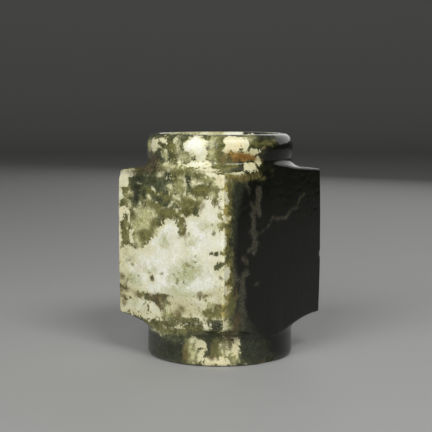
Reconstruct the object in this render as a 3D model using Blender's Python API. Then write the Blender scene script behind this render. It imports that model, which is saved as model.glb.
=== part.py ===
"""A jade cong: a round tube inside a square block, cut from one pebble of mottled stone.

The tube shows as a rounded collar above the block and as a foot below it. Z is up, the origin is the
middle of the foot's underside, and the block's four faces look along X and Y. The face towards -Y is the
one with the large pale cloud in the stone.
"""

import math

import bmesh
import bpy
from mathutils import Matrix, Vector

MM = 0.001

# Heights, from the ground up
FOOT_HEIGHT = 20.6 * MM      # ground to the block's lower corners
BLOCK_HEIGHT = 76.6 * MM     # lower corners to upper corners
COLLAR_HEIGHT = 18.8 * MM    # upper corners to the rim

# The tube and its bore
TUBE_RADIUS = 38.5 * MM      # widest place of the collar and of the foot
RIM_WALL = 7.5 * MM          # thickness of the tube at its two mouths
WAIST_THICKENING = 1.2 * MM  # the bore was drilled from both ends and is narrower where the drillings meet
NECK_DEPTH = 0.9 * MM        # how far the collar draws in below its bulge
FOOT_DRAW_IN = 0.3 * MM      # how far the foot draws in below the block

# The square block
FACE_PROUD = 0.4 * MM        # middle of each face, outside the tube's widest place
FACE_BOW = 0.8 * MM          # how far each face swells between its upright edges
UPRIGHT_BOW = 0.5 * MM       # how far the upright edges and faces swell between their ends
CORNER_ROUND = 1.0 * MM      # worn upright edges, measured back from the sharp corner
EDGE_ROUND = 1.4 * MM        # worn edges where the faces meet the shoulders and the undersides

# Hollow curves where the block turns into the tube: reach outwards and rise or drop
SHOULDER_REACH = 6.0 * MM
SHOULDER_RISE = 3.8 * MM
SHOULDER_FALL = 2.0 * MM     # fall of the shoulder from the hollow curve to the corner
UNDERSIDE_REACH = 13.5 * MM
UNDERSIDE_DROP = 8.4 * MM

# Rounded mouths
RIM_ROUND_HEIGHT = 6.8 * MM
RIM_FLAT = 1.6 * MM          # level ring on top of the wall, between its two roundings
MOUTH_ROUND = 1.2 * MM
FOOT_ROUND = 2.3 * MM
RIM_FULLNESS = 0.9           # 1 makes the rim's round a plain ellipse, less makes it fuller

# The flake lost from the foot's lower edge, under the face towards +X
FLAKE_ANGLE = math.radians(-8.0)
FLAKE_LENGTH = 15.0 * MM
FLAKE_HEIGHT = 4.6 * MM
FLAKE_DEPTH = 1.6 * MM
FLAKE_SLANT = math.radians(14.0)
FLAKE_MIDDLE_HEIGHT = 0.8 * MM

# A rounding or hollow curve takes at most this share of the wall that carries it
LARGEST_SHARE = 0.7

# How finely the curved surfaces are divided
FACE_STEPS = 14
CORNER_STEPS = 4
WALL_STEPS = 6
CURVE_STEPS = 5
EDGE_STEPS = 3
COLLAR_STEPS = 3
RIM_STEPS = 7
CROWDING = 1.6               # above 1, the points of a hollow curve crowd towards the tube
SMOOTH_ANGLE = math.radians(40.0)

JADE_COLOUR = (0.42, 0.44, 0.30, 1.0)
JADE_ROUGHNESS = 0.28

block_bottom = FOOT_HEIGHT
block_top = FOOT_HEIGHT + BLOCK_HEIGHT
total_height = block_top + COLLAR_HEIGHT
bore_radius = TUBE_RADIUS - RIM_WALL
neck_radius = TUBE_RADIUS - NECK_DEPTH
foot_radius = TUBE_RADIUS - FOOT_DRAW_IN
face_middle = TUBE_RADIUS + FACE_PROUD
half_width = face_middle - FACE_BOW
shoulder_rise = min(SHOULDER_RISE, (COLLAR_HEIGHT - SHOULDER_FALL) * LARGEST_SHARE)
underside_drop = min(UNDERSIDE_DROP, (FOOT_HEIGHT - FOOT_ROUND) * LARGEST_SHARE)


def clear_scene():
    for thing in list(bpy.data.objects):
        bpy.data.objects.remove(thing, do_unlink=True)


def shares(steps):
    """Even shares from 0 to 1, both ends included."""
    return [i / steps for i in range(steps + 1)]


def rounded(before, corner, after, steps=EDGE_STEPS):
    """A smooth turn from one point to another, pulled towards the sharp corner between them."""
    turn = []
    for t in shares(steps):
        turn.append(before * (1 - t) ** 2 + corner * 2 * t * (1 - t) + after * t * t)
    return turn


def face_outline():
    """The block's outline in plan along the face towards +X, from one corner's middle to the next."""
    start = half_width - CORNER_ROUND
    lower = Vector((half_width, -half_width))
    along = []
    spread = math.atan(start / face_middle)
    for t in shares(FACE_STEPS):
        y = face_middle * math.tan((2 * t - 1) * spread)
        along.append(Vector((face_middle - FACE_BOW * (y / half_width) ** 2, y)))
    before = Vector((-along[0].y, -along[0].x))
    half_corner = rounded(before, lower, along[0], CORNER_STEPS)[CORNER_STEPS // 2:-1]
    mirrored = [Vector((p.x, -p.y)) for p in reversed(half_corner)]
    return half_corner + along + mirrored[:-1]


def block_outline():
    """Angle and radius of each upright column of points round the block."""
    columns = []
    for quarter in range(4):
        turn = quarter * math.pi / 2
        for p in face_outline():
            columns.append((math.atan2(p.y, p.x) + turn, p.length))
    return columns


def hollow(radius, start, reach):
    """How much of a hollow curve's height is left at this radius: 1 at its start, 0 past its reach."""
    across = min(1.0, max(0.0, (radius - start) / reach))
    return 1 - math.sqrt(1 - (1 - across) ** 2)


def shoulder_height(radius):
    """Height of the shoulder above the block, with the hollow curve that rises into the neck."""
    corner = half_width * math.sqrt(2)
    slope = SHOULDER_FALL * (corner - radius) / (corner - neck_radius)
    return block_top + slope + shoulder_rise * hollow(radius, neck_radius, SHOULDER_REACH)


def underside_height(radius):
    """Height of the block's underside, with the hollow curve that runs down into the foot."""
    return block_bottom - underside_drop * hollow(radius, foot_radius, UNDERSIDE_REACH)


def foot_section():
    """From the flat underside round the lower edge and up the foot's wall."""
    wall_top = block_bottom - underside_drop
    edge = rounded(Vector((TUBE_RADIUS - FOOT_ROUND, 0)), Vector((TUBE_RADIUS, 0)),
                   Vector((TUBE_RADIUS, FOOT_ROUND)))
    middle = Vector((TUBE_RADIUS, (FOOT_ROUND + wall_top) / 2))
    return edge + [middle, Vector((foot_radius, wall_top))]


def block_section(outline_radius):
    """From the foot's wall out along the underside, up the face and in along the shoulder to the neck."""
    edge_radius = outline_radius - min(UPRIGHT_BOW, (outline_radius - TUBE_RADIUS) / 2)
    under_width = edge_radius - foot_radius
    over_width = edge_radius - neck_radius
    under_round = min(EDGE_ROUND, under_width / 2)
    over_round = min(EDGE_ROUND, over_width / 2)
    lower_edge = Vector((edge_radius, underside_height(edge_radius)))
    upper_edge = Vector((edge_radius, shoulder_height(edge_radius)))
    section = []
    for t in shares(CURVE_STEPS)[1:]:
        radius = foot_radius + (under_width - under_round) * t ** CROWDING
        section.append(Vector((radius, underside_height(radius))))
    section += rounded(section[-1], lower_edge, lower_edge + Vector((0, EDGE_ROUND)))[1:]
    top_of_wall = upper_edge - Vector((0, EDGE_ROUND))
    bottom_of_wall = section[-1]
    for t in shares(WALL_STEPS)[1:-1]:
        swell = (outline_radius - edge_radius) * (1 - (2 * t - 1) ** 2)
        section.append(bottom_of_wall.lerp(top_of_wall, t) + Vector((swell, 0)))
    inner = Vector((edge_radius - over_round, shoulder_height(edge_radius - over_round)))
    section += rounded(top_of_wall, upper_edge, inner)
    for t in shares(CURVE_STEPS)[1:-1]:
        radius = neck_radius + (over_width - over_round) * (1 - t) ** CROWDING
        section.append(Vector((radius, shoulder_height(radius))))
    return section


def collar_section():
    """From the neck out over the bulge and round the rim to the bore."""
    neck = Vector((neck_radius, shoulder_height(neck_radius)))
    free_height = total_height - neck.y
    round_height = min(RIM_ROUND_HEIGHT, free_height * LARGEST_SHARE)
    bulge = Vector((TUBE_RADIUS, total_height - round_height))
    rim_reach = RIM_WALL - RIM_FLAT - MOUTH_ROUND
    section = []
    for t in shares(COLLAR_STEPS)[:-1]:
        swell = math.sin(t * math.pi / 2)
        section.append(Vector((neck.x + (bulge.x - neck.x) * swell, neck.y + (bulge.y - neck.y) * t)))
    for t in shares(RIM_STEPS):
        turn = t * math.pi / 2
        section.append(Vector((TUBE_RADIUS - rim_reach * (1 - math.cos(turn)),
                               bulge.y + round_height * math.sin(turn) ** RIM_FULLNESS)))
    return section


def bore_section():
    """From the rim round the upper mouth, down the bore past its waist, and round the lower mouth."""
    mouth = bore_radius + MOUTH_ROUND
    upper = rounded(Vector((mouth, total_height)), Vector((bore_radius, total_height)),
                    Vector((bore_radius, total_height - MOUTH_ROUND)))
    waist = Vector((bore_radius - WAIST_THICKENING, total_height / 2))
    lower = rounded(Vector((bore_radius, MOUTH_ROUND)), Vector((bore_radius, 0)), Vector((mouth, 0)))
    return upper + [waist] + lower


def make_cong():
    """Stands one closed section on each column of the outline and skins between neighbours."""
    bm = bmesh.new()
    columns = []
    for angle, outline_radius in block_outline():
        section = foot_section() + block_section(outline_radius) + collar_section() + bore_section()
        column = []
        for p in section:
            column.append(bm.verts.new((p.x * math.cos(angle), p.x * math.sin(angle), p.y)))
        columns.append(column)
    for i, column in enumerate(columns):
        following = columns[(i + 1) % len(columns)]
        for j in range(len(column)):
            k = (j + 1) % len(column)
            bm.faces.new((column[j], following[j], following[k], column[k]))
    bmesh.ops.recalc_face_normals(bm, faces=bm.faces)
    mesh = bpy.data.meshes.new("jade_cong")
    bm.to_mesh(mesh)
    bm.free()
    mesh.shade_smooth()
    mesh.set_sharp_from_angle(angle=SMOOTH_ANGLE)
    cong = bpy.data.objects.new("jade_cong", mesh)
    bpy.context.scene.collection.objects.link(cong)
    return cong


def make_flake_cutter():
    """A flattened ball that takes the lost flake off the foot's lower edge."""
    bm = bmesh.new()
    bmesh.ops.create_icosphere(bm, subdivisions=3, radius=1.0)
    size = Matrix.Diagonal((FLAKE_DEPTH, FLAKE_LENGTH / 2, FLAKE_HEIGHT / 2, 1.0))
    slant = Matrix.Rotation(FLAKE_SLANT, 4, "X")
    out = Matrix.Translation((TUBE_RADIUS, 0.0, FLAKE_MIDDLE_HEIGHT))
    round_the_foot = Matrix.Rotation(FLAKE_ANGLE, 4, "Z")
    bmesh.ops.transform(bm, matrix=round_the_foot @ out @ slant @ size, verts=bm.verts)
    mesh = bpy.data.meshes.new("flake_cutter")
    bm.to_mesh(mesh)
    bm.free()
    cutter = bpy.data.objects.new("flake_cutter", mesh)
    bpy.context.scene.collection.objects.link(cutter)
    cutter.hide_render = True
    cutter.display_type = "WIRE"
    return cutter


def cut(target, cutter):
    modifier = target.modifiers.new("lost_flake", "BOOLEAN")
    modifier.operation = "DIFFERENCE"
    modifier.solver = "EXACT"
    modifier.object = cutter


def jade_material():
    material = bpy.data.materials.new("jade")
    material.use_nodes = True
    shader = material.node_tree.nodes["Principled BSDF"]
    shader.inputs["Base Color"].default_value = JADE_COLOUR
    shader.inputs["Roughness"].default_value = JADE_ROUGHNESS
    shader.inputs["Metallic"].default_value = 0.0
    material.diffuse_color = JADE_COLOUR
    return material


clear_scene()
cong = make_cong()
cong.data.materials.append(jade_material())
cut(cong, make_flake_cutter())
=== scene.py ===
import math

import bmesh
import bpy
import numpy as np
from mathutils import Matrix, Vector, noise


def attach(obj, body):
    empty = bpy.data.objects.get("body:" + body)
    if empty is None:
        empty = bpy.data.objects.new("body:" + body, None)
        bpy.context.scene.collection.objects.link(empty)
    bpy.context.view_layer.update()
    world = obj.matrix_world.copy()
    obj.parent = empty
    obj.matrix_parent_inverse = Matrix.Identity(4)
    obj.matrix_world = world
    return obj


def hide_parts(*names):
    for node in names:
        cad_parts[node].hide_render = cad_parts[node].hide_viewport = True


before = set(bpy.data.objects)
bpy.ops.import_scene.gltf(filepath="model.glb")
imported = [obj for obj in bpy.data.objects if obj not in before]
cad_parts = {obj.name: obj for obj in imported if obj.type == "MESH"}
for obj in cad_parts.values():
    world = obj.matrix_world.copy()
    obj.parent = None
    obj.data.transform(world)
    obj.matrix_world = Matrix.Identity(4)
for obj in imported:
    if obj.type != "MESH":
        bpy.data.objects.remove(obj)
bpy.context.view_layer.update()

mm = 0.001
scene = bpy.context.scene
print("frame loaded:", sorted(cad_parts))

# the carved form, in millimetres; heights start at the foot's underside
form = {
    "footHeight": 20.6, "blockHeight": 76.6, "collarHeight": 18.8,
    "tubeRadius": 38.5, "rimWall": 7.5, "waistThickening": 1.2,
    "neckDepth": 0.9, "footDrawIn": 0.3,
    "faceProud": 0.4, "faceBow": 0.8, "uprightBow": 0.5, "cornerRound": 1.0, "edgeRound": 1.4,
    "shoulderReach": 6.0, "shoulderRise": 3.8, "shoulderFall": 2.0,
    "undersideReach": 13.5, "undersideDrop": 8.4,
    "rimRoundHeight": 6.8, "rimFlat": 1.6, "mouthRound": 1.2, "footRound": 2.3, "rimFullness": 0.9,
    # mesh rows along each stretch of the section, columns round the tube, and the angle of a sharp edge
    "columns": 432, "cornerCrowding": 0.68, "crowding": 1.35, "boreCrowding": 1.2, "sharpAngle": 48.0,
    "standRows": 4, "edgeRows": 5, "footRows": 13, "undersideRows": 18, "wallRows": 92,
    "shoulderRows": 18, "collarRows": 9, "rimRows": 14, "boreRows": 24,
}
blockTop = form["footHeight"] + form["blockHeight"]
fullHeight = blockTop + form["collarHeight"]
neckRadius = form["tubeRadius"] - form["neckDepth"]
footRadius = form["tubeRadius"] - form["footDrawIn"]
boreRadius = form["tubeRadius"] - form["rimWall"]
faceMiddle = form["tubeRadius"] + form["faceProud"]
halfWidth = faceMiddle - form["faceBow"]


def shares(steps):
    return [i / steps for i in range(steps + 1)]


def turned(before, corner, after, steps):
    # a rounded corner, as points along a curve
    return [before * (1 - t) ** 2 + corner * 2 * t * (1 - t) + after * t * t for t in shares(steps)]


def outlineRadius(angle):
    # how far the block's side is from the bore's axis in this direction, folded into one half face
    a = abs((angle + math.pi / 4) % (math.pi / 2) - math.pi / 4)
    start = halfWidth - form["cornerRound"]
    onFace = Vector((faceMiddle - form["faceBow"] * (start / halfWidth) ** 2, start))
    if a <= math.atan2(onFace.y, onFace.x):
        x = faceMiddle
        for _ in range(6):
            x = faceMiddle - form["faceBow"] * (x * math.tan(a) / halfWidth) ** 2
        return x / math.cos(a)
    low, high = 0.0, 0.5
    sharp = Vector((halfWidth, halfWidth))
    beyond = Vector((onFace.y, onFace.x))
    for _ in range(24):
        t = (low + high) / 2
        p = onFace * (1 - t) ** 2 + sharp * 2 * t * (1 - t) + beyond * t * t
        if math.atan2(p.y, p.x) < a:
            low = t
        else:
            high = t
    return p.length


def hollow(radius, start, reach):
    # a quarter round hollow, from 1 where it starts at the tube to 0 where it has run out
    across = min(1.0, max(0.0, (radius - start) / reach))
    return 1 - math.sqrt(1 - (1 - across) ** 2)


def shoulderHeight(radius):
    corner = halfWidth * math.sqrt(2)
    slope = form["shoulderFall"] * (corner - radius) / (corner - neckRadius)
    return blockTop + slope + form["shoulderRise"] * hollow(radius, neckRadius, form["shoulderReach"])


def undersideHeight(radius):
    return form["footHeight"] - form["undersideDrop"] * hollow(radius, footRadius, form["undersideReach"])


def footStretch():
    tube, edge, inside = form["tubeRadius"], form["footRound"], boreRadius + form["mouthRound"]
    points = [Vector((inside + (tube - edge - inside) * t, 0)) for t in shares(form["standRows"])[1:]]
    points += turned(points[-1], Vector((tube, 0)), Vector((tube, edge)), form["edgeRows"])[1:]
    wallTop = form["footHeight"] - form["undersideDrop"]
    for t in shares(form["footRows"])[1:]:
        points.append(Vector((tube - form["footDrawIn"] * t, edge + (wallTop - edge) * t)))
    return points


def blockStretch(outline):
    edgeRadius = outline - min(form["uprightBow"], (outline - form["tubeRadius"]) / 2)
    underWidth, overWidth = edgeRadius - footRadius, edgeRadius - neckRadius
    underRound, overRound = min(form["edgeRound"], underWidth / 2), min(form["edgeRound"], overWidth / 2)
    points = []
    for t in shares(form["undersideRows"])[1:]:
        radius = footRadius + (underWidth - underRound) * t ** form["crowding"]
        points.append(Vector((radius, undersideHeight(radius))))
    lowEdge = Vector((edgeRadius, undersideHeight(edgeRadius)))
    highEdge = Vector((edgeRadius, shoulderHeight(edgeRadius)))
    wallStart = lowEdge + Vector((0, form["edgeRound"]))
    wallEnd = highEdge - Vector((0, form["edgeRound"]))
    points += turned(points[-1], lowEdge, wallStart, form["edgeRows"])[1:]
    for t in shares(form["wallRows"])[1:-1]:
        swell = (outline - edgeRadius) * (1 - (2 * t - 1) ** 2)
        points.append(wallStart.lerp(wallEnd, t) + Vector((swell, 0)))
    inner = Vector((edgeRadius - overRound, shoulderHeight(edgeRadius - overRound)))
    points += turned(wallEnd, highEdge, inner, form["edgeRows"])
    for t in shares(form["shoulderRows"])[1:-1]:
        radius = neckRadius + (overWidth - overRound) * (1 - t) ** form["crowding"]
        points.append(Vector((radius, shoulderHeight(radius))))
    return points


def collarStretch():
    neck = Vector((neckRadius, shoulderHeight(neckRadius)))
    bulge = Vector((form["tubeRadius"], fullHeight - form["rimRoundHeight"]))
    reach = form["rimWall"] - form["rimFlat"] - form["mouthRound"]
    points = []
    for t in shares(form["collarRows"])[:-1]:
        swell = math.sin(t * math.pi / 2)
        points.append(Vector((neck.x + (bulge.x - neck.x) * swell, neck.y + (bulge.y - neck.y) * t)))
    for t in shares(form["rimRows"]):
        turn = t * math.pi / 2
        rise = form["rimRoundHeight"] * math.sin(turn) ** form["rimFullness"]
        points.append(Vector((form["tubeRadius"] - reach * (1 - math.cos(turn)), bulge.y + rise)))
    return points


def boreStretch():
    inside, mouth = boreRadius, form["mouthRound"]
    points = turned(Vector((inside + mouth, fullHeight)), Vector((inside, fullHeight)),
                    Vector((inside, fullHeight - mouth)), form["edgeRows"])
    for t in shares(form["boreRows"])[1:-1]:
        z = fullHeight - mouth - (fullHeight - 2 * mouth) * t ** form["boreCrowding"]
        waist = form["waistThickening"] * (1 - abs(2 * z / fullHeight - 1))
        points.append(Vector((inside - waist, z)))
    points += turned(Vector((inside, mouth)), Vector((inside, 0)), Vector((inside + mouth, 0)),
                     form["edgeRows"])
    return points


def columnAngles():
    # the columns crowd towards the block's corners, so that its faces get an even mesh
    angles = []
    for i in range(form["columns"]):
        even = 2 * math.pi * i / form["columns"]
        angles.append(even + form["cornerCrowding"] / 4 * math.sin(4 * even))
    return angles


def ringEdges(grown):
    fresh = {g for g in grown if isinstance(g, bmesh.types.BMVert)}
    return [g for g in grown if isinstance(g, bmesh.types.BMEdge) and fresh.issuperset(g.verts)]


def carveStone():
    # a ring is extruded once round the whole section, up the outside and down the bore
    count = form["columns"]
    angles = columnAngles()
    sections = []
    for angle in angles:
        sections.append(footStretch() + blockStretch(outlineRadius(angle)) + collarStretch() + boreStretch())
    bm = bmesh.new()
    column = bm.verts.layers.int.new("column")
    ring = bmesh.ops.create_circle(bm, cap_ends=False, segments=count, radius=1.0)["verts"]
    for v in ring:
        v[column] = round(math.atan2(v.co.y, v.co.x) / (2 * math.pi) * count) % count
    edges = list(bm.edges)
    firstEdges = edges
    for row in range(len(sections[0])):
        if row > 0:
            grown = bmesh.ops.extrude_edge_only(bm, edges=edges)["geom"]
            ring = [g for g in grown if isinstance(g, bmesh.types.BMVert)]
            edges = ringEdges(grown)
        for v in ring:
            p = sections[v[column]][row]
            angle = angles[v[column]]
            v.co = Vector((p.x * math.cos(angle), p.x * math.sin(angle), p.y)) * mm
    bmesh.ops.bridge_loops(bm, edges=firstEdges + edges)
    bmesh.ops.recalc_face_normals(bm, faces=bm.faces)
    return bm


# the hand's unevenness, and small losses along the edges: depths and sizes in millimetres
wear = {
    "waveSize": 24.0, "waveDepth": 0.16, "waveFractal": (0.6, 2.1, 2),
    "pitSize": 2.1, "pitDepth": 0.16, "pitStart": 0.30, "pitSeed": (3.1, 7.7, 1.9),
    "nickSteep": 1.5, "nickEven": 0.8, "nickRough": 0.5, "nickGrain": 1.3, "levelWithin": 0.001,
}
# each nick: x, y, z of its middle, radius, depth
nicks = [
    (-38.0, -38.0, 97.0, 5.0, 1.2), (-38.2, -37.6, 71.0, 1.6, 0.35), (-38.0, -38.0, 39.5, 2.0, 0.4),
    (38.0, -38.0, 64.5, 1.1, 0.2), (38.1, -38.1, 31.0, 1.4, 0.25), (38.2, 37.8, 52.0, 2.4, 0.5),
    (-38.0, 38.0, 84.0, 2.0, 0.4), (-20.0, -38.4, 19.0, 2.2, 0.3), (30.0, 38.4, 19.6, 2.6, 0.4),
    (-37.0, 6.0, 114.0, 1.8, 0.35), (10.0, 37.0, 113.6, 2.2, 0.4), (-14.0, -35.5, 1.2, 1.8, 0.35),
    (-36.5, 10.0, 1.4, 2.2, 0.4), (31.6, -6.0, 115.5, 1.2, 0.25),
]


def wearDown(bm):
    # everything is taken off inwards, so the stone never leaves its own box
    pitSeed = Vector(wear["pitSeed"])
    middles = [(Vector(n[:3]), n[3], n[4]) for n in nicks]
    bm.normal_update()
    moves = []
    for v in bm.verts:
        p = v.co / mm
        if p.z < wear["levelWithin"] or p.z > fullHeight - wear["levelWithin"]:
            moves.append(0.0)
            continue
        depth = wear["waveDepth"] * (0.5 + 0.5 * noise.fractal(p / wear["waveSize"], *wear["waveFractal"]))
        pit = noise.noise(p / wear["pitSize"] + pitSeed) - wear["pitStart"]
        depth += wear["pitDepth"] * max(0.0, pit) / (1 - wear["pitStart"])
        for middle, radius, deep in middles:
            near = (p - middle).length / radius
            if near < 1:
                rough = wear["nickEven"] + wear["nickRough"] * noise.noise(p * wear["nickGrain"])
                depth += deep * (1 - near * near) ** wear["nickSteep"] * rough
        moves.append(max(0.0, depth))
    for v, depth in zip(bm.verts, moves):
        v.co -= v.normal * depth * mm


# the flake lost from the foot's lower edge, in millimetres and degrees; the break's ripples run round the
# point that was struck, which is given in the flake's own half sizes
flake = {
    "direction": -8.0, "length": 15.0, "height": 4.6, "depth": 1.6, "slant": 14.0, "middle": 0.8,
    "struck": (0.6, -0.7, 0.2), "ripple": 0.06, "rings": 15.0, "ringShare": 0.5, "bumps": 2.6,
}


def flakeCutter():
    bm = bmesh.new()
    bmesh.ops.create_icosphere(bm, subdivisions=5, radius=1.0)
    struck = Vector(flake["struck"])
    for v in bm.verts:
        rings = flake["ringShare"] * math.sin(flake["rings"] * (v.co - struck).length)
        v.co *= 1 + flake["ripple"] * (noise.noise(v.co * flake["bumps"]) + rings)
    size = Matrix.Diagonal((flake["depth"], flake["length"] / 2, flake["height"] / 2, 1.0))
    slant = Matrix.Rotation(math.radians(flake["slant"]), 4, "X")
    out = Matrix.Translation((form["tubeRadius"], 0.0, flake["middle"]))
    aside = Matrix.Rotation(math.radians(flake["direction"]), 4, "Z")
    bmesh.ops.transform(bm, matrix=Matrix.Scale(mm, 4) @ aside @ out @ slant @ size, verts=bm.verts)
    return bm


def toObject(bm, name):
    mesh = bpy.data.meshes.new(name)
    bm.to_mesh(mesh)
    bm.free()
    made = bpy.data.objects.new(name, mesh)
    scene.collection.objects.link(made)
    return made


def cutFlake(stone, cutter):
    lost = stone.modifiers.new("lostFlake", "BOOLEAN")
    lost.operation = "DIFFERENCE"
    lost.solver = "EXACT"
    lost.object = cutter
    graph = bpy.context.evaluated_depsgraph_get()
    finished = bpy.data.meshes.new_from_object(stone.evaluated_get(graph))
    stone.modifiers.clear()
    stone.data = finished
    bpy.data.objects.remove(cutter)


carved = carveStone()
wearDown(carved)
cong = toObject(carved, "jadeCong")
cutFlake(cong, toObject(flakeCutter(), "flakeCutter"))
cong.data.name = "jadeCong"
cong.data.shade_smooth()
cong.data.set_sharp_from_angle(angle=math.radians(form["sharpAngle"]))
print("stone carved:", len(cong.data.vertices), "points,", len(cong.data.polygons), "faces")

# Where the stone changes, as patches on each side: place along the side, height, half width, half height, and
# tilt in degrees where there is one. Places are millimetres from the side's middle, seen from outside; on the
# round collar, foot and bore they are degrees round the axis.
paleStone = {
    "front": [
        # the white cloud, and its tongues upwards
        (0, 47, 39, 12.5), (2, 62, 10, 11.5), (20, 66, 16, 10.5), (27.6, 74.6, 5.4, 11, -4),
        (33, 72, 6, 9.6), (37, 66, 7, 9), (37.2, 84.8, 3, 3.8), (32, 56, 10, 9), (30, 46, 12, 8),
        (-8, 57, 9, 7, 40),
        # the left edge of the block
        (-34.4, 92.4, 7, 4.2, 50), (-30.4, 95.8, 5, 2, 8), (-37.4, 96, 4, 3), (-36.8, 85, 2.8, 5.5),
        (-35, 74.2, 4.6, 3.2), (-29.3, 72.8, 1.3, 2.6), (-38.2, 60, 2.6, 44), (-27, 62.5, 2, 4.4),
        (-31, 51, 8, 6.5), (-35, 45, 4, 6), (-27, 38, 10, 5), (-12, 37.5, 14, 4),
        (-36.6, 70.6, 1.6, 2),
        # the foot of the front
        (-11, 26.3, 8.5, 3, -25), (-14, 22.8, 6, 2.6), (-26, 25.2, 11, 4.6), (-20, 28, 7, 3),
        (-34, 25, 4, 4), (-30, 32, 7.4, 2.8), (8, 27.8, 9, 3),
        (14, 33, 16, 4), (20, 28.5, 6, 4, 15), (33, 38, 8, 3.5, 10), (25, 23.5, 3, 1.1, -60),
        (39, 43, 1.8, 12), (37.5, 95, 4.6, 4.4), (31, 97.6, 9, 1.5, 4),
    ],
    "right": [
        (-38.9, 85.6, 4.8, 3.6), (-38.9, 94, 3.4, 3), (-38.9, 75.2, 5, 2.4), (-38.9, 65.4, 3.6, 4),
        (-38.9, 58.4, 2.6, 2.4), (-38.9, 50.2, 6, 5.2), (-38.9, 41, 5.2, 3.4),
        (-38.9, 36, 2.8, 2.2), (-38.9, 24, 4.8, 2.6), (-31, 99, 9, 1.2, -3),
    ],
    "round": [
        # the collar
        (-107, 110.8, 3.6, 3.4, 12), (-95, 113.2, 3.6, 1.5), (-95, 108.7, 3, 0.5, -12),
        # the white block from -72 to -56 degrees is partly pale stone and partly a painted reflection of the
        # light
        (-65.6, 111.6, 6, 4.6), (-61.4, 106.4, 4, 5), (-63.4, 101.6, 7.2, 2),
        (-54, 98.6, 6.4, 1.9, -20), (-47.4, 96.6, 4.4, 1.6, -20), (-33.4, 110.8, 2.6, 3),
        (-37, 112, 5.4, 4, -10), (-40.6, 109.6, 2.6, 3.4), (-29, 112, 2.6, 3.2, 20),
        (-23.5, 107.8, 4.8, 2, -6), (-17.8, 103.8, 1.1, 2.6, -10), (-24.4, 100, 3.4, 2.2, 10),
        # the foot
        (-61.4, 11, 3.2, 2.6), (-60.6, 6, 1.9, 5), (-67.4, 14.4, 0.9, 1.8), (-50, 2.2, 9, 1.9),
        (-35.2, 9.6, 2, 5.6, 4), (-44.8, 10, 0.9, 5, 8), (-41.4, 7, 0.9, 4, 6), (-45, 3.6, 4, 2.2),
        # the sides away from the light, in keeping
        (118, 109, 9, 4.5), (130, 104, 7, 4), (172, 105, 7, 6), (186, 110, 6, 3),
        (78, 5, 9, 4.5), (90, 10, 6, 4), (-160, 5, 7, 8), (-148, 12, 6, 3),
    ],
    "bore": [(119, 111, 7, 8), (150, 113, 7, 3), (176, 111, 9, 4), (100, 113, 5, 2), (-60, 70, 12, 20)],
    "left": [
        (36, 60, 5, 42), (24, 44, 16, 12, 10), (6, 36, 13, 6, 18), (28, 74, 9, 7, -20),
        (-20, 86, 12, 6, -15), (-8, 80, 7, 4, 25), (-30, 30, 7, 9), (-22, 24, 8, 3), (16, 26, 10, 4, -10),
    ],
    "back": [
        (-22, 68, 8, 15, 20), (-14, 54, 9, 9, 35), (-4, 42, 9, 4.5, 20), (12, 34, 13, 4, -12),
        (27, 30, 7, 3, 10), (32, 86, 6, 10, 10), (36, 70, 3, 7),
    ],
}
# green left standing inside the pale stone
greenIslands = {
    "front": [
        (10.3, 72, 2.6, 3.5), (11, 67.5, 2.6, 2.3), (12.8, 69, 0.8, 3), (36.6, 73, 3.4, 1.8, 12),
        (33, 71.4, 1.6, 0.6, -30), (36.2, 77.6, 1.3, 2.3), (33.2, 83.6, 1.7, 1.7), (35.8, 85.3, 1.1, 0.6),
        (33.4, 59, 2.6, 0.9, 10), (37.6, 59.8, 1.6, 0.6), (35, 52.8, 1.9, 2.2, 40), (38, 54.6, 1.8, 0.6, 15),
        (31.6, 69, 0.7, 0.9), (8.3, 65.2, 1, 0.4, 10), (16.2, 67, 0.6, 0.8),
        (-34, 67, 1.5, 3, 10), (-32.6, 63, 2.4, 3.4, 15), (-31, 60, 2.4, 1.8, -25),
        (-28.4, 58.4, 3.6, 1.1, -5), (-25.5, 57.8, 1.5, 0.5), (-33, 78.5, 3.4, 1.2), (-31.4, 72, 0.9, 2.4),
        (-23.2, 32.2, 2, 1.3), (-35.6, 30.2, 1.6, 0.8), (-34.6, 40.6, 1.3, 1.3),
        (-7, 32.8, 6.4, 1.5, 5), (-11.5, 30.8, 2.4, 0.9), (-7.4, 29, 2.6, 1.4, -35), (-4, 28, 2.2, 2.4),
        (-1.5, 30, 2, 3), (-11.4, 42.1, 1.2, 1.4),
        (25.4, 28.6, 2.5, 2), (31, 30, 6, 1.8, 5), (36.4, 33.6, 3, 2), (28.6, 33.4, 1.6, 1.6),
        (33, 24.4, 7, 2, 6), (15, 23.8, 3, 1.3), (8, 21.6, 2.6, 1.6), (1.5, 22, 2.4, 1.4),
        (-6, 19.6, 9, 1.7), (18, 20.6, 6, 1), (27, 19.8, 10, 1, 4), (10, 29, 1.6, 1.4),
        (7.4, 26.3, 1.8, 1.4), (7, 24.3, 1.5, 0.7), (22.4, 37, 1.2, 1.1), (26.5, 37.8, 1.8, 0.5, 15),
    ],
    "round": [
        (-95, 110.6, 2.4, 0.8), (-71.4, 104.8, 4, 1.5), (-51.4, 9.6, 3.4, 5.6, 6), (-53.4, 4.6, 1.4, 1.4),
        # (-52, 15.8) keeps the pale stone out of the painted shadow line under the block
        (-52, 15.8, 10, 1.4), (-39.6, 12.4, 0.9, 2.2, 10), (-43.2, 9, 0.4, 3, 6),
    ],
    "left": [(24, 66, 4, 6), (20, 43, 5, 3), (2, 35, 3, 2)],
    "back": [(-20, 66, 3, 5), (8, 35, 4, 1.5)],
}
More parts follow.
